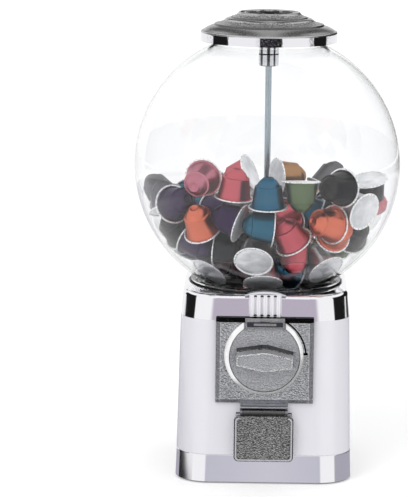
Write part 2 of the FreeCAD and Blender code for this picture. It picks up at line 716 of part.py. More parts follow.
# ---------------------------------------------------------------- outlet and flap
def mouth_frame():
    """Cast frame around the outlet with a stepped hood that carries the flap pin."""
    frame = box((-26.0, 26.0), (-87.4, -79.2), (28.6, 68.4))
    frame = frame.cut(box((-MOUTH_HALF_X, MOUTH_HALF_X), (-99, -70), MOUTH_Z))
    top = prism([(-82.6, 68.4), (-82.6, 78.8), (-85.0, 78.8), (-87.0, 77.4), (-89.4, 77.4),
                 (-91.4, 75.8), (-91.4, 74.8), (-86.2, 74.8), (-85.4, 68.4)],
                in_yz(-EAR_X), V(2 * EAR_X, 0, 0))
    y, z = FLAP_PIN
    cheeks = []
    for x in (-EAR_X, EAR_X - EAR_WIDTH):
        ear = Part.makeCylinder(EAR_R, EAR_WIDTH, V(x, y, z), X_AXIS)
        web = box((x, x + EAR_WIDTH), (y, -83), (z - 2.4, z + 4.2))
        cheeks += [ear, web]
    frame = fuse(frame, [top] + cheeks)
    return frame.cut(cylinder_x(PIN_R, 30, y, z))


def flap_pin():
    return cylinder_x(PIN_R, EAR_X, FLAP_PIN[0], FLAP_PIN[1])


def rounded_panel(inset, radius, front, back):
    """Upright panel of the flap's outline less an inset, with round corners."""
    half = FLAP_HALF_X - inset
    panel = box((-half, half), (front, back), (FLAP_Z[0] + inset, FLAP_Z[1] - inset))
    corners = [edge for edge in panel.Edges
               if abs(edge.BoundBox.YLength - (back - front)) < 0.01]
    return panel.makeFillet(radius, corners)


def flap():
    """Outlet flap with a raised bead round its edge, hanging from its pin."""
    y, z = FLAP_PIN
    high = FLAP_Z[1]
    front, back = y - 1.2, y + 1.6
    plate = rounded_panel(0.0, 4.4, front, back)
    bead = rounded_panel(1.0, 3.8, front - 1.4, front + 0.2)
    bead = bead.cut(rounded_panel(2.5, 2.8, front - 2, front + 1))
    bead = bead.cut(box((-22.8, 22.8), (front - 2, front + 1), (high - 4, high)))
    tongue = box((-19.8, 19.8), (y - 1.2, y + 1.6), (high - 1, z))
    knuckle = cylinder_x(EAR_R, 19.8, y, z)
    door = fuse(plate, [bead, tongue, knuckle])
    return door.cut(cylinder_x(PIN_R + RUNNING_GAP, 30, y, z))


# ---------------------------------------------------------------- the capsule filling
# colour, body centre and the direction from the foil to the nose
FRONT_CAPSULES = [
    ("grey", (-108, -5, 261), (-0.6, 0.5, 0.6)),
    ("grey", (-96, -28, 262), (-0.3, 0.4, 0.8)),
    ("purple", (-80, -57, 261), (0.5, -0.8, 0.3)),
    ("pink", (-58, -79, 279), (-0.3, -0.9, -0.2)),
    ("crimson", (-38, -75, 281), (0.1, -0.1, 1.0)),
    ("crimson", (-28, -32, 286), (-0.9, 0.3, -0.4)),
    ("teal", (4, -98, 269), (0.0, -0.1, 1.0)),
    ("orange", (-58, -73, 247), (-0.3, -0.5, 0.8)),
    ("purple", (-35, -88, 254), (-0.9, 0.3, 0.3)),
    ("purple", (-60, -50, 224), (0.7, -0.5, -0.4)),
    ("charcoal", (-28, -76, 230), (1.0, -0.2, -0.1)),
    ("blue", (-14, -92, 238), (-1.0, -0.1, 0.1)),
    ("silver", (-18, -77, 227), (0.1, 0.8, 0.6)),
    ("silver", (-53, -42, 208), (0.5, 0.5, 0.7)),
    ("silver", (-5, -70, 207), (0.0, 0.5, 0.85)),
    ("gold", (22, -42, 289), (0.9, 0.4, 0.0)),
    ("green", (34, -100, 276), (0.0, -0.1, -1.0)),
    ("black", (61, -87, 280), (-0.6, -0.8, 0.1)),
    ("grey", (60, -55, 289), (0.5, 0.3, 0.8)),
    ("black", (97, -35, 273), (0.15, 0.27, -0.95)),
    ("silver", (81, -66, 259), (-0.7, 0.7, 0.3)),
    ("crimson", (104, -8, 249), (1.0, -0.1, -0.2)),
    ("orange", (46, -84, 250), (-0.7, -0.7, 0.2)),
    ("orange", (70, -50, 236), (0.4, -0.8, 0.5)),
    ("crimson", (17, -88, 243), (-0.45, -0.4, 0.8)),
    ("crimson", (29, -62, 218), (0.1, -0.4, -0.9)),
    ("silver", (50, -52, 211), (-0.5, 0.6, 0.7)),
    ("charcoal", (90, -30, 236), (0.3, -0.7, 0.6)),
    ("charcoal", (-86, -38, 238), (-0.5, -0.5, 0.6)),
]
FILL_COLOURS = ("black", "charcoal", "purple", "grey", "crimson", "teal", "black",
                "gold", "charcoal", "orange", "green", "purple", "pink", "blue")
# layers behind and beneath the front ones: height, ring radius, number of capsules
FILL_LAYERS = ((190, 14, 2), (200, 44, 7), (222, 72, 12), (224, 36, 5), (244, 92, 15),
               (248, 56, 9), (252, 22, 3))
PILE_FLOOR = 176.0
PILE_GAP = 0.15
HULL = ((0.0, CAPSULE_RIM_R), (CAPSULE_RIM_H, CAPSULE_RIM_R),
        (CAPSULE_SHOULDER, CAPSULE_BODY_R[1]), (CAPSULE_HEIGHT, CAPSULE_NOSE_R))


class Capsule:
    """A capsule's place in the pile: colour, body centre and foil-to-nose direction."""

    def __init__(self, colour, centre, axis, stiffness):
        self.colour = colour
        self.centre = V(*centre)
        self.axis = V(*axis).normalize()
        self.stiffness = stiffness

    def reach(self, direction):
        """The point of the convex outline that lies furthest along a direction."""
        along = self.axis.dot(direction)
        across = direction - self.axis * along
        if across.Length > 1e-9:
            across.normalize()
        best, best_value = None, -1e9
        for height, radius in HULL:
            value = (height - CAPSULE_HEIGHT / 2) * along
            value += radius * across.dot(direction)
            if value > best_value:
                best, best_value = (height, radius), value
        return self.centre + self.axis * (best[0] - CAPSULE_HEIGHT / 2) + across * best[1]


def widest_gap(first, second):
    """Largest gap found between two capsules' outlines, and its direction."""
    between = second.centre - first.centre
    starts = [V(between)]
    for axis in (first.axis, second.axis):
        starts.append(axis * (1 if axis.dot(between) > 0 else -1) + between * 0.01)
    best, best_way = -1e9, None
    for way in starts:
        way.normalize()
        for step in (1.0, 0.6, 0.4, 0.25, 0.15, 0.08, 0.04):
            apart = second.reach(way * -1) - first.reach(way)
            gap = apart.dot(way)
            if gap > best:
                best, best_way = gap, V(way)
            slide = apart - way * gap
            if slide.Length < 1e-6:
                break
            way = (way + slide * (step / 12.0)).normalize()
    return best, best_way


def keep_inside(capsule):
    """Moves a capsule in from the globe wall, up off the wheel and clear of the rod."""
    centre = V(0, 0, GLOBE_CENTRE_Z)
    limit = GLOBE_R - GLOBE_WALL - 0.4
    for _ in range(3):
        outward = (capsule.centre - centre).normalize()
        worst = 0.0
        for tilt in (outward, outward + capsule.axis, outward - capsule.axis):
            point = capsule.reach(tilt.normalize())
            worst = max(worst, (point - centre).Length - limit)
        for height, radius in HULL:
            middle = capsule.centre + capsule.axis * (height - CAPSULE_HEIGHT / 2) - centre
            along = capsule.axis.dot(middle)
            across = (middle - capsule.axis * along).Length + radius
            worst = max(worst, math.hypot(along, across) - limit)
        capsule.centre -= outward * max(0.0, worst)
    low = capsule.reach(V(0, 0, -1)).z
    capsule.centre.z += max(0.0, PILE_FLOOR - low)
    away = V(capsule.centre.x, capsule.centre.y, 0)
    if away.Length < 1:
        away = V(0, 1, 0)
    away.normalize()
    near = capsule.reach(away * -1).dot(away)
    capsule.centre += away * max(0.0, ROD_R + 0.4 - near)


def settle(pile, rounds):
    """Pushes overlapping capsules apart until every outline is clear of the others."""
    for _ in range(rounds):
        clashes = 0
        for i, first in enumerate(pile):
            for second in pile[i + 1:]:
                if (first.centre - second.centre).Length > 2 * CAPSULE_RIM_R + 10:
                    continue
                gap, way = widest_gap(first, second)
                if gap >= PILE_GAP:
                    continue
                clashes += 1
                share = second.stiffness / (first.stiffness + second.stiffness)
                push = (PILE_GAP + 0.1 - gap) * 0.6
                first.centre -= way * (push * share)
                second.centre += way * (push * (1 - share))
        for capsule in pile:
            keep_inside(capsule)
        if clashes == 0:
            break
    return clashes


def capsule_pile():
    """The visible capsules as they lie, and a seeded filling behind them."""
    chance = random.Random(7)
    pile = [Capsule(colour, centre, axis, 9.0) for colour, centre, axis in FRONT_CAPSULES]
    for height, radius, count in FILL_LAYERS:
        offset = chance.uniform(0, 360)
        for k in range(count):
            turn = math.radians(offset + 360.0 * k / count)
            spot = V(radius * math.cos(turn), radius * math.sin(turn), height)
            if min((spot - other.centre).Length for other in pile) < 25:
                continue
            axis = (chance.uniform(-1, 1), chance.uniform(-1, 1), chance.uniform(-0.8, 1))
            colour = FILL_COLOURS[len(pile) % len(FILL_COLOURS)]
            pile.append(Capsule(colour, spot, axis, 1.0))
    left = settle(pile, 200)
    print("capsules", len(pile), "still touching", left)
    return pile


def capsule_solid(capsule):
    """One closed capsule: foil disc, curled rim, tapered body, shoulder and nose."""
    low, high = CAPSULE_BODY_R
    solid = turned([
        (0, 0), (CAPSULE_RIM_R - 0.4, 0), (CAPSULE_RIM_R, 0.5), (CAPSULE_RIM_R, 1.0),
        (CAPSULE_RIM_R - 0.4, CAPSULE_RIM_H), (low + 0.6, CAPSULE_RIM_H), (low, 2.6),
        (high, CAPSULE_SHOULDER), (high - 1.6, 22.2), (CAPSULE_NOSE_R, 27.4),
        (CAPSULE_NOSE_R - 1.2, CAPSULE_HEIGHT), (0, CAPSULE_HEIGHT),
    ])
    turn = FreeCAD.Rotation(Z_AXIS, capsule.axis)
    foil = capsule.centre - capsule.axis * (CAPSULE_HEIGHT / 2)
    solid.Placement = FreeCAD.Placement(foil, turn)
    return solid


# ---------------------------------------------------------------- all the pieces
def pieces():
    """Every node of the machine by name."""
    found = {
        "plinth": plinth(), "base_plate": base_plate(), "rubber_feet": feet(),
        "body_sleeve": body_sleeve(), "top_cap": top_cap(), "centre_rod": rod(),
        "rod_washer": rod_washer(), "rod_nut": rod_nut(), "hopper": hopper(),
        "dispensing_wheel": dispensing_wheel(), "crown_gear": crown_gear(),
        "outlet_cover": outlet_cover(),
        "cover_rivets": cover_rivets(), "chute": chute(),
        "globe_gasket": globe_gasket(), "globe": globe(), "lid": lid(),
        "lid_gasket": lid_gasket(), "lock_body": lock_body(),
        "lock_barrel": lock_barrel(), "mech_plate": mech_plate(),
        "dial_bezel": dial_bezel(), "coin_block": coin_block(), "dial": dial(),
        "dial_shaft": dial_shaft(), "coin_carrier": coin_carrier(),
        "coin_backplate": coin_backplate(), "mech_housing": mech_housing(),
        "shaft_bush": shaft_bush(), "mech_clamp": mech_clamp(),
        "mech_screws": mech_screws(), "ratchet_wheel": ratchet_wheel(),
        "ratchet_pawl": ratchet_pawl(), "pawl_pin": pawl_pin(),
        "pawl_spring": pawl_spring(), "drive_pinion": drive_pinion(),
        "mouth_frame": mouth_frame(), "flap_pin": flap_pin(), "flap": flap(),
    }
    pile = capsule_pile()
    for colour in sorted({capsule.colour for capsule in pile}):
        solids = [capsule_solid(capsule) for capsule in pile if capsule.colour == colour]
        found["capsules_" + colour] = Part.makeCompound(solids)
    return found


def main():
    os.makedirs("parts", exist_ok=True)
    for name, shape in pieces().items():
        if not shape.isValid():
            print("NOT VALID", name)
        print(name, len(shape.Solids), round(shape.Volume))
        shape.exportStep(f"parts/{name}.step")


main()
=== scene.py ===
"""Looks of the globe capsule vending machine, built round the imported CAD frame."""
import math

import bmesh
import bpy
import numpy as np
from mathutils import Matrix, Vector


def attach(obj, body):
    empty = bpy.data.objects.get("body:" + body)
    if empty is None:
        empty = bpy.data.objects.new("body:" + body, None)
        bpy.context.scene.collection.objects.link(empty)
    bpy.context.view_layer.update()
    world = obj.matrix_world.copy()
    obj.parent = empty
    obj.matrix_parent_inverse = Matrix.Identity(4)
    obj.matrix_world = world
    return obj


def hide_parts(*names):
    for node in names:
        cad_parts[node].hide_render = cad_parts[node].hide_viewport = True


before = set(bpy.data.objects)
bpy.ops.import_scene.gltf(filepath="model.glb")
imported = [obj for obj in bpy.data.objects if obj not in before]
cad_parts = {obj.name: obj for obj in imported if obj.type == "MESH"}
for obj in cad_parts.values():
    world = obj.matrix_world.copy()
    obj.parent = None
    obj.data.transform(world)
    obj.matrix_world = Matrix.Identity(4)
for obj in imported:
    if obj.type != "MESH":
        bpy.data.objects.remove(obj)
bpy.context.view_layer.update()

MM = 0.001
# how far the edge of a mask fades to each side, in metres
HARD = 0.0001
CRISP = 0.0002
WORN = 0.0003
BLURRED = 0.0006


# ---------------------------------------------------------------- node helpers
class Graph:
    """Builds one node tree with short calls."""

    def __init__(self, tree):
        self.nodes = tree.nodes
        self.links = tree.links

    def add(self, kind, **settings):
        """Adds a node and sets its properties."""
        node = self.nodes.new(kind)
        for name, value in settings.items():
            setattr(node, name, value)
        return node

    def feed(self, socket, value):
        """Links an output or sets a plain value."""
        if isinstance(value, bpy.types.NodeSocket):
            self.links.new(value, socket)
        else:
            socket.default_value = value

    def math(self, operation, first, second=0.0, clamp=False):
        """One arithmetic step; second is left out where the operation takes one value."""
        node = self.add("ShaderNodeMath", operation=operation, use_clamp=clamp)
        self.feed(node.inputs[0], first)
        self.feed(node.inputs[1], second)
        return node.outputs[0]

    def plus(self, first, second):
        return self.math("ADD", first, second)

    def minus(self, first, second, clamp=False):
        return self.math("SUBTRACT", first, second, clamp)

    def times(self, first, second):
        return self.math("MULTIPLY", first, second)

    def larger(self, first, second):
        return self.math("MAXIMUM", first, second)

    def size(self, value):
        """The value without its sign."""
        return self.math("ABSOLUTE", value)

    def radius(self, first, second):
        """Distance from an axis, from the two coordinates across it."""
        return self.math("SQRT", self.plus(self.times(first, first),
                                           self.times(second, second)))

    def stretch(self, value, ends, low, high, **settings):
        """Maps a range of values to another; low and high are the ends named by ends."""
        node = self.add("ShaderNodeMapRange", **settings)
        self.feed(node.inputs["Value"], value)
        node.inputs[ends + " Min"].default_value = low
        node.inputs[ends + " Max"].default_value = high
        return node.outputs["Result"]

    def range(self, value, low, high):
        """Maps 0..1 to low..high."""
        return self.stretch(value, "To", low, high)

    def sharpen(self, value, low, high):
        """Stretches the middle of a noise to the full 0..1."""
        return self.stretch(value, "From", low, high)

    def above(self, value, edge, soft):
        """1 above an edge, 0 below it, with a soft change."""
        return self.stretch(value, "From", edge - soft, edge + soft,
                            interpolation_type="SMOOTHSTEP")

    def below(self, value, edge, soft):
        return self.outside(self.above(value, edge, soft))

    def band(self, value, low, high, soft):
        """1 between two limits, 0 outside, with soft edges."""
        return self.minus(self.above(value, low, soft), self.above(value, high, soft),
                          clamp=True)

    def layer(self, value, level, limits, soft):
        """Band between two distances from a level; the distances are in millimetres."""
        return self.band(value, level + limits[0] * MM, level + limits[1] * MM, soft)

    def outside(self, mask):
        """Where a mask does not hold."""
        return self.minus(1.0, mask)

    def both(self, *masks):
        """Where all of several masks hold."""
        found = masks[0]
        for mask in masks[1:]:
            found = self.times(found, mask)
        return found

    def mix(self, factor, first, second):
        """Mixes two colours."""
        node = self.add("ShaderNodeMix", data_type="RGBA")
        self.feed(node.inputs["Factor"], factor)
        self.feed(node.inputs["A"], first)
        self.feed(node.inputs["B"], second)
        return node.outputs["Result"]

    def tint(self, colour, mask, share, stain):
        """A colour with a share of a stain where a mask holds."""
        return self.mix(self.times(mask, share), colour, stain)

    def place(self):
        """Position in the object's own space, in metres."""
        return self.add("ShaderNodeTexCoord").outputs["Object"]

    def axes(self, vector=None):
        """The three coordinates of a vector, or of the place if none is given."""
        node = self.add("ShaderNodeSeparateXYZ")
        self.feed(node.inputs[0], vector or self.place())
        return node.outputs

    def noise(self, scale, detail=3.0, roughness=0.5, where=None, distortion=0.0):
        """Cloudy noise in 0..1."""
        node = self.add("ShaderNodeTexNoise")
        self.feed(node.inputs["Vector"], where or self.place())
        node.inputs["Scale"].default_value = scale
        node.inputs["Detail"].default_value = detail
        node.inputs["Roughness"].default_value = roughness
        node.inputs["Distortion"].default_value = distortion
        return node.outputs["Fac"]

    def cells(self, scale):
        """Round dimples, rising away from their middles."""
        node = self.add("ShaderNodeTexVoronoi", feature="SMOOTH_F1")
        self.feed(node.inputs["Vector"], self.place())
        node.inputs["Scale"].default_value = scale
        node.inputs["Smoothness"].default_value = 0.6
        return node.outputs["Distance"]

    def bump(self, height, strength, distance):
        """A normal that follows small heights."""
        node = self.add("ShaderNodeBump")
        self.feed(node.inputs["Height"], height)
        self.feed(node.inputs["Strength"], strength)
        node.inputs["Distance"].default_value = distance
        return node.outputs["Normal"]


def new_material(name):
    """An empty material with one Principled shader."""
    material = bpy.data.materials.new(name)
    material.use_nodes = True
    graph = Graph(material.node_tree)
    shader = graph.nodes["Principled BSDF"]
    return material, graph, shader


def coat(graph, shader, colour, gloss, normal, metal=0.0):
    """Feeds a shader its colour, roughness, normal and share of metal."""
    graph.feed(shader.inputs["Base Color"], colour)
    graph.feed(shader.inputs["Roughness"], gloss)
    graph.feed(shader.inputs["Normal"], normal)
    graph.feed(shader.inputs["Metallic"], metal)


def grey(value):
    return (value, value, value, 1.0)


def extent(node):
    """Half width, front, foot and top of a CAD node, in metres."""
    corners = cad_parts[node].bound_box
    half = max(corner[0] for corner in corners)
    front = min(corner[1] for corner in corners)
    heights = [corner[2] for corner in corners]
    return half, front, min(heights), max(heights)


# ---------------------------------------------------------------- finishes of single nodes
# All distances in the names below are in millimetres from the edge of the node's own box.
# The two blacks below are painted shade, painted shadow and painted dark reflections where they
# are used; the lighter one also colours the lid's dark petals.
DEEP_BLACK = grey(0.006)
NEAR_BLACK = grey(0.03)

SOCKET_ROW = 14.2             # half width of the row of sockets
SOCKET_DEPTH = (2.9, 8.6)     # behind the cap's front
LOWER_SOCKETS = (4.4, 6.7)    # above the cap's foot
UPPER_SOCKETS = (22.9, 24.9)
RIB_ROW = 15.6                # half width of the row of ribs
RIB_DEPTH = 8.1


def rib_socket_shade(graph):
    """Painted shade: the small sockets at both ends of the grooves between the ribs, painted
    black.
    """
    _, front, foot, _ = extent("top_cap")
    x, y, z = graph.axes()
    across = graph.layer(x, 0.0, (-SOCKET_ROW, SOCKET_ROW), HARD)
    depth = graph.layer(y, front, SOCKET_DEPTH, HARD)
    ends = graph.plus(graph.layer(z, foot, LOWER_SOCKETS, HARD),
                      graph.layer(z, foot, UPPER_SOCKETS, HARD))
    return graph.both(across, depth, ends)


def ribs(graph):
    """The ribs on the cap's front, which are satin rather than polished."""
    _, front, foot, _ = extent("top_cap")
    x, y, z = graph.axes()
    return graph.both(graph.layer(x, 0.0, (-RIB_ROW, RIB_ROW), HARD),
                      graph.above(z, foot + LOWER_SOCKETS[0] * MM, HARD),
                      graph.below(y, front + RIB_DEPTH * MM, HARD))


PLATE_BEVEL = 4.0             # width of the bevel at the sides and the foot of the plate
PLATE_CROWN = 4.2             # height of its upper bevel, painted black as shadow under the cap
PLATE_RIDGE = 0.8             # width of the worn ridge inside the bevels
GROOVE_DEPTH = 0.3            # behind the plate's front
GROOVE_RADIUS = 41.5          # from the dial's axis


def dial_axis():
    """Height of the dial's axis, in metres."""
    _, _, foot, top = extent("dial")
    return (foot + top) / 2


def plate_finish(graph, colour, gloss, strength):
    """Painted shadow on the upper bevel under the cap, painted shade in the groove, and a
    brighter worn ridge round the face of the plate.
    """
    half, front, foot, top = extent("mech_plate")
    edge = half - PLATE_BEVEL * MM
    sill = foot + PLATE_BEVEL * MM
    x, y, z = graph.axes()
    across = graph.size(x)
    out = graph.radius(x, graph.minus(z, dial_axis()))
    crown_shadow = graph.above(z, top - PLATE_CROWN * MM, CRISP)
    groove_shade = graph.both(graph.above(y, front + GROOVE_DEPTH * MM, HARD),
                        graph.below(out, GROOVE_RADIUS * MM, HARD))
    sides = graph.larger(graph.above(across, edge, WORN), graph.below(z, sill, WORN))
    ridge = graph.larger(graph.layer(across, edge, (-PLATE_RIDGE, 0.0), CRISP),
                         graph.layer(z, sill, (0.0, PLATE_RIDGE), CRISP))
    colour = graph.tint(colour, sides, 0.45, (0.20, 0.20, 0.23, 1))
    colour = graph.tint(colour, ridge, 0.6, grey(0.95))
    # painted shadow on the upper bevel under the cap and painted shade in the groove
    colour = graph.mix(graph.larger(crown_shadow, groove_shade), colour, DEEP_BLACK)
    return colour, gloss, strength


GRIP_WEAR = 0.7               # depth of the part of the grip that hands polish
DIAL_FACE = 21.6              # the dial's face, behind the front of the grip
GRIP_SHADE_DEPTH = (19.7, 38.2)    # where the painted shade lies, before the noise shifts it
GRIP_SHADE_SHIFT = 0.018           # how much the noise shifts it, in metres
GRIP_SHADE_FADE = 0.0012           # in metres


def dial_finish(graph, colour, gloss, strength):
    """Grip ridge polished by hands, and painted shade where the grip meets the dial."""
    _, front, _, _ = extent("dial")
    y = graph.axes()[1]
    ridge = graph.below(y, front + GRIP_WEAR * MM, WORN)
    ragged = graph.times(graph.noise(scale=420.0), GRIP_SHADE_SHIFT)
    # painted shade where the grip meets the dial, with a ragged edge
    grip_shade = graph.layer(graph.plus(y, ragged), front, GRIP_SHADE_DEPTH, GRIP_SHADE_FADE)
    grip_shade = graph.both(grip_shade, graph.below(y, front + DIAL_FACE * MM, HARD))
    colour = graph.tint(colour, grip_shade, 0.92, NEAR_BLACK)
    colour = graph.tint(colour, ridge, 0.6, grey(0.92))
    gloss = graph.minus(gloss, graph.times(ridge, 0.12))
    return colour, gloss, strength


BEZEL_FADE = 0.008            # how gradually the painted highlight on the bezel comes in, in metres


def bezel_finish(graph, colour, gloss, strength):
    """A painted highlight lies on the bezel above and to the left; below it the bezel keeps the
    casting's grey.
    """
    x, _, z = graph.axes()
    left = graph.larger(graph.times(x, -0.9), 0.0)
    height = graph.plus(graph.minus(z, dial_axis()), left)
    # painted highlight on the upper left of the bezel
    bright = graph.above(height, 0.0, BEZEL_FADE)
    colour = graph.mix(bright, colour, grey(0.98))
    gloss = graph.minus(gloss, graph.times(bright, 0.18))
    strength = graph.times(graph.minus(1.05, bright), strength)
    return colour, gloss, strength


BEAD_DEPTH = 0.99             # how far the bead stands out of the flap
KNUCKLE = 6.8                 # height of the flap's hinge end, which painted shade darkens
FLAP_MARGIN = 1.1             # width of the painted shadow along the edge, outside the bead


def flap_finish(graph, colour, gloss, strength):
    """Bright bead round a dark field, painted shadow in the gap along the outer margin, and
    painted shade on the hinge end.
    """
    half, front, _, top = extent("flap")
    x, y, z = graph.axes()
    bead = graph.below(y, front + BEAD_DEPTH * MM, HARD)
    knuckle_shade = graph.above(z, top - KNUCKLE * MM, WORN)
    edge_shadow = graph.both(graph.above(graph.size(x), half - FLAP_MARGIN * MM, CRISP),
                        graph.outside(bead))
    # painted shadow in the gap along the flap's outer edge
    colour = graph.tint(colour, edge_shadow, 0.8, NEAR_BLACK)
    colour = graph.mix(bead, colour, grey(0.82))
    # painted shade on the flap's hinge end
    colour = graph.tint(colour, knuckle_shade, 0.85, NEAR_BLACK)
    gloss = graph.minus(gloss, graph.times(bead, 0.1))
    strength = graph.times(graph.minus(1.1, bead), strength)
    return colour, gloss, strength


ENTRY_DEPTH = 0.4             # the sunken field lies this far behind the block's front
ENTRY_SIDE = 1.8              # the field's distance from the block's sides
ENTRY_HEIGHT = (1.8, 6.7)     # above the block's foot


def coin_finish(graph, colour, gloss, strength):
    """Painted shade on the sunken field of the coin entry, inside a lighter edge."""
    half, front, foot, _ = extent("coin_block")
    edge = half - ENTRY_SIDE * MM
    x, y, z = graph.axes()
    entry_shade = graph.both(graph.above(y, front + ENTRY_DEPTH * MM, HARD),
                       graph.band(x, -edge, edge, HARD),
                       graph.layer(z, foot, ENTRY_HEIGHT, HARD))
    # painted shade in the sunken coin entry
    return graph.mix(entry_shade, colour, (0.07, 0.075, 0.09, 1)), gloss, strength


LOWER_RISER = (-10.4, -3.1)   # below the hood's top
UPPER_RISER = (-2.3, -1.6)


def hood_finish(graph, colour, gloss, strength):
    """Painted shade on the risers of the stepped hood, which are darker than its treads."""
    top = extent("mouth_frame")[3]
    z = graph.axes()[2]
    riser_shade = graph.larger(graph.layer(z, top, LOWER_RISER, CRISP),
                          graph.layer(z, top, UPPER_RISER, CRISP))
    # painted shade on the hood's risers
    colour = graph.tint(colour, riser_shade, 0.75, (0.08, 0.08, 0.10, 1))
    return colour, gloss, strength


# radii on the lid, and heights above its foot, in mm
OUTER_BAND = (42.5, 51.8)
INNER_BAND = (30.5, 36.2)
OUTER_STEP = (51.6, 52.8)
INNER_STEP = (36.2, 37.1)
PLATEAU_RADIUS = 26.2
SKIRT_RADIUS = 64.0
SKIRT_HEIGHT = 8.4
PETAL_HEIGHT = 26.5


def lid_finish(graph, colour, gloss, strength):
    """A polished skirt, a satin dome, two hammered bands with painted shade on the steps
    between them, a bright plateau and the dark petals on it."""
    foot = extent("lid")[2]
    x, y, z = graph.axes()
    out = graph.radius(x, y)
    bands = graph.plus(graph.layer(out, 0.0, OUTER_BAND, BLURRED),
                       graph.layer(out, 0.0, INNER_BAND, BLURRED))
    step_shade = graph.plus(graph.layer(out, 0.0, OUTER_STEP, CRISP),
                       graph.layer(out, 0.0, INNER_STEP, CRISP))
    skirt = graph.both(graph.above(out, SKIRT_RADIUS * MM, HARD),
                       graph.below(z, foot + SKIRT_HEIGHT * MM, CRISP))
    plateau = graph.below(out, PLATEAU_RADIUS * MM, CRISP)
    petals = graph.both(plateau, graph.above(z, foot + PETAL_HEIGHT * MM, HARD))
    satin = graph.mix(graph.noise(scale=90.0), grey(0.44), grey(0.62))
    colour = graph.mix(bands, satin, colour)
    # painted shade on the steps between the bands
    colour = graph.tint(colour, step_shade, 0.8, grey(0.05))
    colour = graph.mix(plateau, colour, grey(0.95))
    colour = graph.mix(petals, colour, NEAR_BLACK)
    colour = graph.mix(skirt, colour, (0.86, 0.86, 0.89, 1))
    shine = graph.outside(graph.times(skirt, 0.90))
    gloss = graph.times(graph.larger(gloss, 0.20), shine)
    strength = graph.times(graph.plus(bands, 0.02), strength)
    return colour, gloss, strength


REFLECTION_LINES = ((-7.8, -5.8), (-1.6, 1.2), (4.6, 6.2))   # painted reflection lines, from the sleeve's middle
REFLECTION_FADE = 0.0004           # in metres
SLEEVE_CROWN = 18.2           # the black upper end starts this far above the foot
SLEEVE_RING = (10.6, 11.8)    # the dark ring round the sleeve, above the foot


def sleeve_reflections_and_ends(graph):
    """Painted dark reflections as lines down the lock sleeve, and its dark ring and black upper
    end.
    """
    foot = extent("lock_body")[2]
    x, _, z = graph.axes()
    # painted dark reflections as lines down the sleeve
    lines = graph.layer(x, 0.0, REFLECTION_LINES[0], REFLECTION_FADE)
    for line in REFLECTION_LINES[1:]:
        lines = graph.plus(lines, graph.layer(x, 0.0, line, REFLECTION_FADE))
    ends = graph.larger(graph.above(z, foot + SLEEVE_CROWN * MM, CRISP),
                        graph.layer(z, foot, SLEEVE_RING, HARD))
    return graph.larger(graph.times(lines, 0.9), ends)


# ---------------------------------------------------------------- materials
def chrome(name, tint, ripple, rough=0.04, dark_marks=None, satin=None):
    """Polished chrome: faint polishing haze and a slightly wavy casting under it.

    The dark marks function, called with the graph, gives where it is painted a dull black:
    painted shade in the rib sockets, and painted reflections with the dark ring and upper end on
    the lock sleeve; satin(graph) is where it is half polished.
    """
    material, graph, shader = new_material(name)
    haze = graph.noise(scale=60.0, detail=5.0)
    light = tuple(min(1.0, c * 1.03) for c in tint[:3]) + (1.0,)
    colour = graph.mix(haze, tint, light)
    gloss = graph.range(haze, rough, rough + 0.05)
    metal = 1.0
    if dark_marks:
        black = dark_marks(graph)
        # painted shade and painted dark reflections, in dull black
        colour = graph.mix(black, colour, DEEP_BLACK)
        metal = graph.outside(black)
        gloss = graph.larger(gloss, graph.times(black, 0.6))
    if satin:
        dull = satin(graph)
        gloss = graph.larger(gloss, graph.times(dull, 0.22))
        metal = graph.minus(metal, graph.times(dull, 0.45), clamp=True)
    waves = graph.noise(scale=14.0, detail=1.0)
    coat(graph, shader, colour, gloss, graph.bump(waves, ripple, 0.002), metal)
    return material


def hammered(name, dark, light, scale, depth, rough, finish=None, metal=1.0):
    """Cast metal with a hammered skin of small irregular dimples.

    finish(graph, colour, gloss, strength) may change the skin by place.
    """
    material, graph, shader = new_material(name)
    warp = graph.noise(scale=scale * 0.7, detail=2.0)
    height = graph.plus(graph.cells(scale), graph.times(warp, 0.5))
    cloud = graph.noise(scale=scale * 1.1, roughness=0.7)
    patches = graph.sharpen(cloud, 0.36, 0.66)
    colour = graph.mix(patches, dark, light)
    gloss = graph.range(patches, rough, rough + 0.18)
    strength = depth
    if finish:
        colour, gloss, strength = finish(graph, colour, gloss, strength)
    coat(graph, shader, colour, gloss, graph.bump(height, strength, 0.0012), metal)
    return material


def white_paint():
    """Glossy white powder coat with a faint orange peel."""
    material, graph, shader = new_material("white_powder_coat")
    peel = graph.noise(scale=900.0, detail=2.0)
    tone = graph.noise(scale=9.0, detail=2.0)
    colour = graph.mix(tone, (0.71, 0.705, 0.745, 1), (0.74, 0.735, 0.775, 1))
    coat(graph, shader, colour, graph.range(peel, 0.16, 0.24), graph.bump(peel, 0.04, 0.0005))
    shader.inputs["Coat Weight"].default_value = 0.7
    shader.inputs["Coat Roughness"].default_value = 0.06
    return material


def plastic(name, dark, light, rough, grain):
    """Moulded plastic or rubber with a fine grain."""
    material, graph, shader = new_material(name)
    fine = graph.noise(scale=grain)
    broad = graph.noise(scale=grain / 20.0, detail=2.0)
    coat(graph, shader, graph.mix(broad, dark, light), graph.range(fine, rough, rough + 0.15),
         graph.bump(fine, 0.12, 0.0004))
    return material


def drawn_steel(name, dark, light, rough, along):
    """Metal with fine lines along one axis; along is the grain's scale on the three axes."""
    material, graph, shader = new_material(name)
    grain = graph.add("ShaderNodeMapping")
    graph.feed(grain.inputs["Vector"], graph.place())
    grain.inputs["Scale"].default_value = along
    lines = graph.noise(scale=1.0, where=grain.outputs["Vector"])
    coat(graph, shader, graph.mix(lines, dark, light), graph.range(lines, rough, rough + 0.15),
         graph.bump(lines, 0.1, 0.0002), 1.0)
    return material


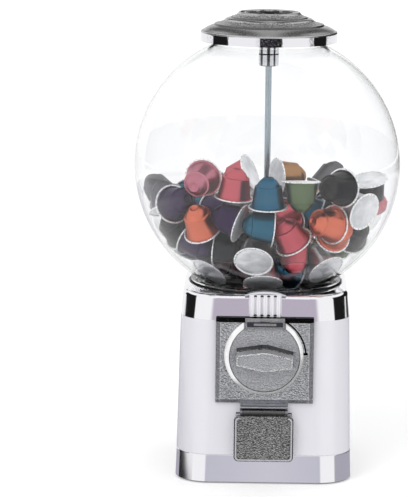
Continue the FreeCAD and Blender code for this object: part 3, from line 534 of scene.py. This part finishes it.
def clear_plastic():
    """Clear polycarbonate: bends light, and lets lamps through to what it holds."""
    material, graph, shader = new_material("clear_polycarbonate")
    shader.inputs["Base Color"].default_value = (0.985, 0.99, 0.995, 1)
    shader.inputs["Transmission Weight"].default_value = 1.0
    shader.inputs["IOR"].default_value = 1.45
    shader.inputs["Specular IOR Level"].default_value = 0.07
    smear = graph.noise(scale=5.0)
    graph.feed(shader.inputs["Roughness"], graph.range(smear, 0.0, 0.012))
    path = graph.add("ShaderNodeLightPath")
    through = graph.add("ShaderNodeBsdfTransparent")
    through.inputs["Color"].default_value = (0.97, 0.98, 0.98, 1)
    joined = graph.add("ShaderNodeMixShader")
    graph.feed(joined.inputs["Fac"], path.outputs["Is Shadow Ray"])
    graph.feed(joined.inputs[1], shader.outputs["BSDF"])
    graph.feed(joined.inputs[2], through.outputs["BSDF"])
    output = graph.nodes["Material Output"]
    graph.feed(output.inputs["Surface"], joined.outputs["Shader"])
    return material


def anodised(name, colour):
    """Coloured anodised aluminium with a fine grain and a soft sheen."""
    material, graph, shader = new_material(name)
    fine = graph.noise(scale=700.0)
    broad = graph.noise(scale=45.0, detail=2.0)
    deep = tuple(c * 0.82 for c in colour) + (1.0,)
    bright = tuple(min(1.0, c * 1.12 + 0.005) for c in colour) + (1.0,)
    coat(graph, shader, graph.mix(broad, deep, bright), graph.range(broad, 0.27, 0.35),
         graph.bump(fine, 0.008, 0.0003), 1.0)
    shader.inputs["Specular Tint"].default_value = grey(0.6)
    return material


def foil():
    """Lacquered foil, pale with grey mottling and soft creases."""
    material, graph, shader = new_material("foil")
    creases = graph.noise(scale=160.0, detail=4.0, roughness=0.65, distortion=1.2)
    cloud = graph.noise(scale=55.0, detail=4.0, roughness=0.6)
    mottle = graph.sharpen(cloud, 0.35, 0.70)
    colour = graph.mix(mottle, (0.58, 0.59, 0.61, 1), (0.93, 0.93, 0.95, 1))
    coat(graph, shader, colour, graph.range(creases, 0.25, 0.40),
         graph.bump(creases, 0.4, 0.0006), 0.6)
    return material


def rim_metal():
    """Bare bright rim of a capsule."""
    material, graph, shader = new_material("capsule_rim")
    fine = graph.noise(scale=500.0, detail=2.0)
    coat(graph, shader, graph.mix(fine, grey(0.82), grey(0.93)), graph.range(fine, 0.22, 0.34),
         graph.bump(fine, 0.05, 0.0003), 0.6)
    return material


# ---------------------------------------------------------------- capsules
CAPSULE_COLOURS = {
    "black": (0.004, 0.004, 0.005), "blue": (0.024, 0.115, 0.18),
    "charcoal": (0.016, 0.0165, 0.019), "crimson": (0.49, 0.090, 0.115),
    "gold": (0.34, 0.175, 0.075), "green": (0.095, 0.135, 0.068),
    "grey": (0.110, 0.110, 0.118), "orange": (0.66, 0.17, 0.10),
    "pink": (0.47, 0.16, 0.21), "purple": (0.032, 0.016, 0.056),
    "silver": (0.50, 0.50, 0.52), "teal": (0.018, 0.110, 0.19),
}
CAPSULE_SEGMENTS = 64
# half of a capsule's outline: radius, and height above the foil's edge, in mm
FOIL_LINE = [
    (0.0, 0.34), (4.0, 0.32), (8.0, 0.28), (12.0, 0.22), (15.2, 0.16), (15.9, 0.42),
    (16.5, 0.40),
]
RIM_LINE = [
    (16.9, 0.04), (17.7, 0.0), (18.2, 0.12), (18.48, 0.45), (18.48, 0.85), (18.2, 1.2),
    (17.7, 1.36), (17.0, 1.32),
]
BODY_LINE = [
    # root and tapered wall
    (16.2, 1.25), (15.5, 1.4), (15.2, 1.9), (15.05, 3.0), (14.6, 6.0), (14.0, 10.0),
    (13.4, 14.0), (12.75, 18.4), (12.55, 19.8),
    # shoulder
    (12.5, 20.1), (12.3, 20.45), (11.9, 20.6), (11.1, 20.65), (10.8, 20.8), (10.5, 21.2),
    # dome and nose with its dimple
    (9.9, 22.6), (8.6, 24.6), (7.2, 26.1), (6.2, 26.8), (5.7, 27.2), (5.3, 27.9),
    (4.8, 28.35), (4.0, 28.42), (3.5, 28.25), (3.2, 27.9), (1.6, 27.75), (0.0, 27.7),
]
SURFACES = ("body", "foil", "rim")
CAPSULE_PROFILE = [(radius, height, surface)
                   for surface, line in (("foil", FOIL_LINE), ("rim", RIM_LINE),
                                         ("body", BODY_LINE))
                   for radius, height in line]
FOIL_RADIUS = 15.0            # dents fade out towards this radius
DENTS = 3
DENT_WAVES = (2, 6)           # waves round the foil, the upper limit not included
DENT_DEPTHS = (0.02, 0.07)
FULL_TURN = 6.28              # limit of the random angles, in radians
WELD = 1e-6


def loose_parts(mesh):
    """The separate shells of a mesh; each face as its normal, area and corners."""
    shells = bmesh.new()
    shells.from_mesh(mesh)
    bmesh.ops.remove_doubles(shells, verts=shells.verts, dist=WELD)
    seen = set()
    found = []
    # the faces are taken in the mesh's own order, so that every run gives the same list
    for first in shells.faces:
        if first in seen:
            continue
        seen.add(first)
        stack = [first]
        part = []
        while stack:
            face = stack.pop()
            part.append(face)
            for edge in face.edges:
                for other in edge.link_faces:
                    if other not in seen:
                        seen.add(other)
                        stack.append(other)
        found.append([(f.normal.copy(), f.calc_area(), [v.co.copy() for v in f.verts])
                      for f in part])
    shells.free()
    return found


def foil_frame(faces):
    """Centre of a capsule's foil and the direction from it to the nose."""
    totals = {}
    for normal, area, _ in faces:
        key = tuple(round(c, 2) for c in normal)
        totals[key] = totals.get(key, 0.0) + area
    widest = Vector(max(totals, key=totals.get)).normalized()
    flat = [f for f in faces if f[0].dot(widest) > 0.999]
    axis = -sum((f[0] * f[1] for f in flat), Vector()).normalized()
    level = min(corner.dot(axis) for f in flat for corner in f[2])
    rim = {tuple(round(c, 6) for c in corner) for f in flat for corner in f[2]
           if corner.dot(axis) < level + 1e-5}
    centre = sum((Vector(p) for p in rim), Vector()) / len(rim)
    return centre, axis


def dent_lift(radius, angle, dents):
    """How far a few gentle waves lift one point of the foil, in mm."""
    share = radius / FOIL_RADIUS
    return sum(deep * share * (1 - share) * 4 * math.sin(waves * angle + start)
               for start, waves, deep in dents)


def lathe_capsule(mesh, centre, axis, chance):
    """Adds one capsule to a mesh, its foil slightly creased."""
    turn = Vector((0, 0, 1)).rotation_difference(axis).to_matrix().to_4x4()
    roll = Matrix.Rotation(chance.uniform(0, FULL_TURN), 4, "Z")
    turn = Matrix.Translation(centre) @ turn @ roll
    dents = [(chance.uniform(0, FULL_TURN), int(chance.integers(*DENT_WAVES)),
              chance.uniform(*DENT_DEPTHS)) for _ in range(DENTS)]
    rings = []
    for radius, height, surface in CAPSULE_PROFILE:
        ring = []
        count = 1 if radius == 0.0 else CAPSULE_SEGMENTS
        for k in range(count):
            angle = 2 * math.pi * k / CAPSULE_SEGMENTS
            lift = 0.0
            if surface == "foil" and radius < FOIL_RADIUS:
                lift = dent_lift(radius, angle, dents)
            spot = Vector((radius * math.cos(angle), radius * math.sin(angle), height + lift))
            ring.append(mesh.verts.new(turn @ (spot * MM)))
        rings.append(ring)
    for index in range(len(rings) - 1):
        lower, upper = rings[index], rings[index + 1]
        slot = SURFACES.index(CAPSULE_PROFILE[index + 1][2])
        for k in range(CAPSULE_SEGMENTS):
            after = (k + 1) % CAPSULE_SEGMENTS
            corners = [lower[k % len(lower)], lower[after % len(lower)],
                       upper[after % len(upper)], upper[k % len(upper)]]
            # a ring of one vertex gives the same corner twice
            face = mesh.faces.new(list(dict.fromkeys(corners)))
            face.material_index = slot
            face.smooth = True


def build_capsules(colour, shared):
    """Detailed capsules in place of one node's plain ones."""
    node = "capsules_" + colour
    chance = np.random.default_rng(sum(map(ord, colour)))
    mesh = bmesh.new()
    places = [foil_frame(faces) for faces in loose_parts(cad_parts[node].data)]
    for centre, axis in sorted(places, key=lambda place: tuple(place[0])):
        lathe_capsule(mesh, centre, axis, chance)
    bmesh.ops.recalc_face_normals(mesh, faces=mesh.faces)
    data = bpy.data.meshes.new("filling_" + colour)
    mesh.to_mesh(data)
    mesh.free()
    data.materials.append(anodised("anodised_" + colour, CAPSULE_COLOURS[colour]))
    for material in shared:
        data.materials.append(material)
    piece = bpy.data.objects.new("filling_" + colour, data)
    bpy.context.scene.collection.objects.link(piece)
    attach(piece, "machine")
    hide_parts(node)


# ---------------------------------------------------------------- CAD nodes
SHARP_ANGLE = 35.0            # edges sharper than this many degrees are softened
SOFT_STEPS = 3


def dress(node, material, bevel):
    """Gives a CAD node its material, and softens its sharp edges by bevel mm."""
    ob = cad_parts[node]
    ob.data.materials.clear()
    ob.data.materials.append(material)
    for polygon in ob.data.polygons:
        polygon.material_index = 0
    if bevel:
        weld = ob.modifiers.new("weld", "WELD")
        weld.merge_threshold = WELD
        soften = ob.modifiers.new("soften", "BEVEL")
        soften.width = bevel * MM
        soften.segments = SOFT_STEPS
        soften.limit_method = "ANGLE"
        soften.angle_limit = math.radians(SHARP_ANGLE)
        soften.use_clamp_overlap = True
        soften.harden_normals = False


def dress_all():
    """Makes the materials and gives every CAD node but the capsules one of them."""
    # the cap's black rib sockets are painted shade
    bright = chrome("polished_chrome", tint=(0.90, 0.89, 0.92, 1), ripple=0.05,
                    dark_marks=rib_socket_shade, satin=ribs)
    base = chrome("base_chrome", tint=(0.88, 0.87, 0.90, 1), ripple=0.02)
    # the lock sleeve's dark lines are painted reflections
    mirror = chrome("sleeve_chrome", tint=(0.62, 0.63, 0.65, 1), ripple=0.02, rough=0.08,
                    dark_marks=sleeve_reflections_and_ends)
    cast = hammered("cast_zinc_hammered", dark=(0.28, 0.29, 0.30, 1),
                    light=(0.86, 0.87, 0.90, 1), scale=800.0, depth=0.9, rough=0.30,
                    finish=plate_finish)
    rough_cast = hammered("housing_zinc", dark=grey(0.26), light=grey(0.50), scale=620.0,
                          depth=0.6, rough=0.34)
    hood = hammered("hood_zinc", dark=(0.76, 0.77, 0.82, 1), light=(0.94, 0.94, 0.98, 1),
                    scale=620.0, depth=0.25, rough=0.28, finish=hood_finish)
    # the bezel's bright upper left is a painted highlight
    ringed = hammered("bezel_painted_highlight", dark=grey(0.40), light=grey(0.60), scale=620.0,
                      depth=0.5, rough=0.30, finish=bezel_finish, metal=0.15)
    entry = hammered("coin_entry_zinc", dark=grey(0.28), light=grey(0.52), scale=620.0,
                     depth=0.4, rough=0.28, finish=coin_finish)
    knob = hammered("dial_zinc", dark=(0.42, 0.43, 0.44, 1), light=(0.76, 0.77, 0.80, 1),
                    scale=900.0, depth=0.6, rough=0.30, finish=dial_finish)
    flap_skin = hammered("flap_zinc_wrinkled", dark=grey(0.08), light=grey(0.60),
                         scale=760.0, depth=0.9, rough=0.26, finish=flap_finish)
    lid_skin = hammered("lid_zinc", dark=grey(0.30), light=grey(0.80), scale=700.0,
                        depth=0.8, rough=0.20, finish=lid_finish)
    black = plastic("hopper_black", dark=grey(0.010), light=grey(0.018), rough=0.28,
                    grain=900.0)
    wheel = plastic("wheel_black", dark=grey(0.016), light=grey(0.026), rough=0.35,
                    grain=700.0)
    rubber = plastic("foot_rubber_black", dark=grey(0.012), light=grey(0.022), rough=0.65,
                     grain=500.0)
    steel = drawn_steel("rod_zinc_steel", dark=(0.24, 0.29, 0.33, 1),
                        light=(0.40, 0.46, 0.50, 1), rough=0.22,
                        along=(1500.0, 1500.0, 20.0))
    plated = drawn_steel("plated_steel", dark=grey(0.42), light=grey(0.55), rough=0.30,
                         along=(900.0, 20.0, 900.0))
    brass = drawn_steel("brass_turned", dark=(0.62, 0.46, 0.20, 1),
                        light=(0.74, 0.57, 0.28, 1), rough=0.20,
                        along=(20.0, 20.0, 1500.0))
    # a node's material, and how far its sharp edges are softened, in mm
    looks = {
        "plinth": (base, 0.0), "top_cap": (bright, 0.0), "body_sleeve": (white_paint(), 0.0),
        "globe": (clear_plastic(), 0.0), "lid": (lid_skin, 0.0), "lock_body": (mirror, 0.0),
        "lock_barrel": (plated, 0.1), "centre_rod": (steel, 0.0), "mech_plate": (cast, 0.3),
        "dial_bezel": (ringed, 0.2), "coin_block": (entry, 0.25), "dial": (knob, 0.35),
        "mouth_frame": (hood, 0.3), "flap": (flap_skin, 0.3), "mech_housing": (rough_cast, 0.4),
        "hopper": (black, 0.0), "chute": (black, 0.3), "outlet_cover": (black, 0.2),
        "dispensing_wheel": (wheel, 0.3), "crown_gear": (wheel, 0.1),
        "rubber_feet": (rubber, 0.8), "globe_gasket": (rubber, 0.0),
        "lid_gasket": (rubber, 0.0), "shaft_bush": (brass, 0.1),
    }
    other = (plated, 0.15)
    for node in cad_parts:
        if not node.startswith("capsules_"):
            material, bevel = looks.get(node, other)
            dress(node, material, bevel)


# ---------------------------------------------------------------- studio
# A direction is a turn about the machine, in radians, 0 to the front and minus to the left,
# and a height, which is the sine of its slope.
FLAG_BLACK = grey(0.012)
TENT_WHITE = grey(0.97)
TABLE_MAUVE = (0.42, 0.41, 0.47, 1)
SILL_BOW = 0.0643             # how far the black patch's lower edge sinks towards the back
SILL_BASE = 0.2545
SILL_FADE = 0.0012
LINE_FADE = 0.002             # upper and lower edges that are meant to look sharp
FLAG_NEAR = 0.11              # the overhead flags' distances from the middle
FLAG_FAR = 0.38
FLAG_FADE = 0.05


class Tent:
    """Colours the inside of the studio, one panel over the other."""

    def __init__(self, graph):
        self.graph = graph
        self.x, self.y, self.z = graph.axes(graph.add("ShaderNodeTexCoord").outputs["Generated"])
        self.turn = graph.math("ARCTAN2", self.x, graph.times(self.y, -1.0))
        self.tone = graph.mix(graph.above(self.z, -0.42, 0.12), grey(0.22), TENT_WHITE)

    def cover(self, where, colour):
        """Lays a colour over part of the tent."""
        self.tone = self.graph.mix(where, self.tone, colour)

    def patch(self, turns, heights, side_fade, end_fade):
        """The part of the tent between two turns and two heights."""
        return self.graph.both(self.graph.band(self.turn, *turns, side_fade),
                               self.graph.band(self.z, *heights, end_fade))

    def panel(self, colour, turns, heights, side_fade=0.03, end_fade=0.015):
        self.cover(self.patch(turns, heights, side_fade, end_fade), colour)

    def front(self):
        """Mauve front that the upright chrome shows, with a paler foot and a slit in it."""
        foot = (-0.34, -0.15)
        self.panel((0.50, 0.455, 0.53, 1), turns=(-0.32, 0.28), heights=(-0.15, 0.30),
                   side_fade=0.12)
        self.panel((0.56, 0.56, 0.63, 1), turns=(-0.27, 0.22), heights=foot, side_fade=0.05)
        self.panel((0.66, 0.66, 0.71, 1), turns=(-0.006, 0.010), heights=foot,
                   side_fade=0.012)

    def left(self):
        """Black flag on the left, and under it a table with a black patch; the patch has a
        bowed lower edge."""
        graph = self.graph
        self.panel(FLAG_BLACK, turns=(-2.30, -1.34), heights=(-0.13, 0.40))
        self.panel(TABLE_MAUVE, turns=(-2.90, -1.07), heights=(-0.36, -0.187),
                   end_fade=LINE_FADE)
        bow = graph.math("COSINE", graph.times(self.turn, 0.5))
        sill = graph.minus(graph.times(bow, SILL_BOW), SILL_BASE)
        over = graph.above(graph.minus(self.z, sill), 0.0, SILL_FADE)
        table = self.patch(turns=(-2.20, -1.07), heights=(-0.26, -0.187), side_fade=0.03,
                           end_fade=LINE_FADE)
        self.cover(graph.both(over, table), FLAG_BLACK)

    def right(self):
        """Black flag on the right with a table under it."""
        self.panel(FLAG_BLACK, turns=(1.25, 2.90), heights=(-0.145, 0.40))
        self.panel(TABLE_MAUVE, turns=(1.10, 2.80), heights=(-0.36, -0.155))

    def bright_line(self):
        """A white line nearly all round, broken by three black patches."""
        self.panel(TENT_WHITE, turns=(-2.9, 2.9), heights=(-0.100, -0.083),
                   end_fade=LINE_FADE)
        for turns in ((-1.90, -1.27), (-0.26, 0.39), (1.42, 1.98)):
            self.panel(FLAG_BLACK, turns, heights=(-0.115, -0.075), side_fade=0.02,
                       end_fade=LINE_FADE)

    def overhead(self):
        """Two dark flags over the machine with a grey strip between them."""
        graph = self.graph
        high = graph.both(graph.above(self.z, 0.30, 0.06), graph.above(self.y, -0.35, 0.10))
        aside = graph.size(self.x)
        flags = graph.both(high, graph.band(aside, FLAG_NEAR, FLAG_FAR, FLAG_FADE))
        middle = graph.both(high, graph.below(aside, FLAG_NEAR, FLAG_FADE))
        self.cover(middle, grey(0.62))
        self.cover(flags, grey(0.06))


def studio():
    """White tent that only reflections see in detail: diffuse light comes from plain white
    with a dark left side, and the camera sees plain white."""
    world = bpy.data.worlds.new("studio")
    world.use_nodes = True
    bpy.context.scene.world = world
    graph = Graph(world.node_tree)
    background = graph.nodes["Background"]
    tent = Tent(graph)
    tent.front()
    tent.left()
    tent.right()
    tent.bright_line()
    tent.overhead()
    path = graph.add("ShaderNodeLightPath")
    seen = graph.larger(path.outputs["Is Camera Ray"], path.outputs["Is Transmission Ray"])
    shaded = tent.patch(turns=(-2.8, -0.85), heights=(-0.8, 0.6), side_fade=0.2, end_fade=0.1)
    soft = graph.mix(shaded, grey(1.0), (0.03, 0.04, 0.09, 1))
    tent.cover(path.outputs["Is Diffuse Ray"], soft)
    tent.cover(seen, grey(1.15))
    graph.feed(background.inputs["Color"], tent.tone)
    background.inputs["Strength"].default_value = 1.0


def floor():
    """Plain white table top, which reflections do not see."""
    mesh = bpy.data.meshes.new("floor")
    half = 3.0
    corners = [(-half, -half, 0), (half, -half, 0), (half, half, 0), (-half, half, 0)]
    mesh.from_pydata(corners, [], [(0, 1, 2, 3)])
    ob = bpy.data.objects.new("floor", mesh)
    bpy.context.scene.collection.objects.link(ob)
    material, graph, shader = new_material("floor_white")
    shade = graph.noise(scale=2.0, detail=2.0)
    graph.feed(shader.inputs["Base Color"], graph.mix(shade, grey(0.90), grey(0.92)))
    graph.feed(shader.inputs["Roughness"], graph.range(shade, 0.45, 0.55))
    shader.inputs["Emission Color"].default_value = (1, 1, 1, 1)
    shader.inputs["Emission Strength"].default_value = 0.25
    mesh.materials.append(material)
    ob.visible_glossy = False


def lamp(name, place, aim, size, power):
    """Soft rectangular lamp, which reflections and the globe do not show."""
    data = bpy.data.lights.new(name, "AREA")
    data.shape = "RECTANGLE"
    data.size, data.size_y = size
    data.energy = power
    ob = bpy.data.objects.new(name, data)
    ob.location = place
    ob.rotation_euler = (Vector(aim) - Vector(place)).to_track_quat("-Z", "Y").to_euler()
    ob.visible_glossy = False
    ob.visible_transmission = False
    bpy.context.scene.collection.objects.link(ob)


def camera(place, aim, lens, shift, roll):
    """Long lens a little above the machine, looking down by about ten degrees."""
    data = bpy.data.cameras.new("camera")
    data.lens = lens
    data.sensor_width = 36.0
    data.shift_x = shift
    data.dof.use_dof = False
    data.clip_end = 20.0
    ob = bpy.data.objects.new("camera", data)
    look = (Vector(aim) - Vector(place)).to_track_quat("-Z", "Y").to_matrix().to_4x4()
    tilt = Matrix.Rotation(math.radians(roll), 4, "Z")
    ob.matrix_world = Matrix.Translation(place) @ look @ tilt
    bpy.context.scene.collection.objects.link(ob)
    bpy.context.scene.camera = ob


def main():
    dress_all()
    shared = [foil(), rim_metal()]
    for colour in CAPSULE_COLOURS:
        build_capsules(colour, shared)
    studio()
    floor()
    lamp("key", place=(-1.2, -1.6, 1.7), aim=(0, 0, 0.25), size=(1.2, 1.2), power=14.0)
    camera(place=(0.0, -2.45, 0.637), aim=(0.0, 0.0, 0.212), lens=186.4, shift=-0.125,
           roll=0.8)
    bpy.context.scene.view_settings.view_transform = "Standard"


main()
